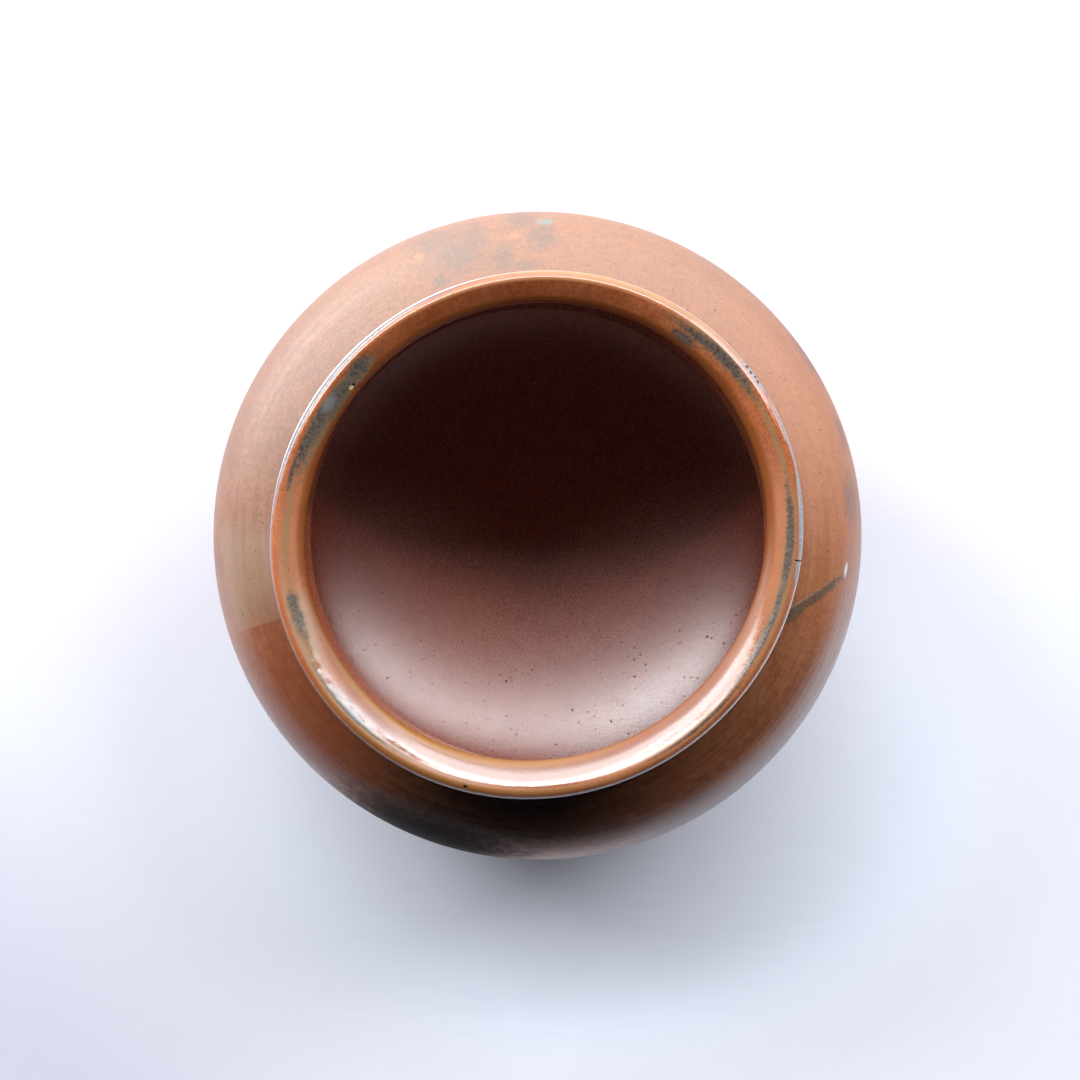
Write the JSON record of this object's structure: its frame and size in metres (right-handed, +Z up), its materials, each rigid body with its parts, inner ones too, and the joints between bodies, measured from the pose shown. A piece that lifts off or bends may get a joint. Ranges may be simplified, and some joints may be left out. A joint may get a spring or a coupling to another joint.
{
  "type": "stoneware jar",
  "caption": "Open broad-shouldered stoneware jar with a short neck, a thick dished lip that overhangs it, a smooth round inside and an unglazed foot.",
  "frame": {"origin": "on the jar's axis, in the plane that the foot stands on", "axes": "+Z up along the axis of the jar; +Y towards the top of the picture"},
  "size_m": [0.2, 0.2, 0.16],
  "materials": {
    "orange_glaze": "glossy orange-brown glaze outside, satin slip inside",
    "lip_glaze": "glossy orange-brown glaze with grey ash, worn to clay on the outer edge",
    "bare_stoneware": "bare fired clay on the foot"
  },
  "bodies": {
    "root": {"base_dish": "bare_stoneware", "belly_wall": "orange_glaze", "shoulder_wall": "orange_glaze", "neck_ring": "lip_glaze", "lip_ring": "lip_glaze"}
  },
  "joints": []
}
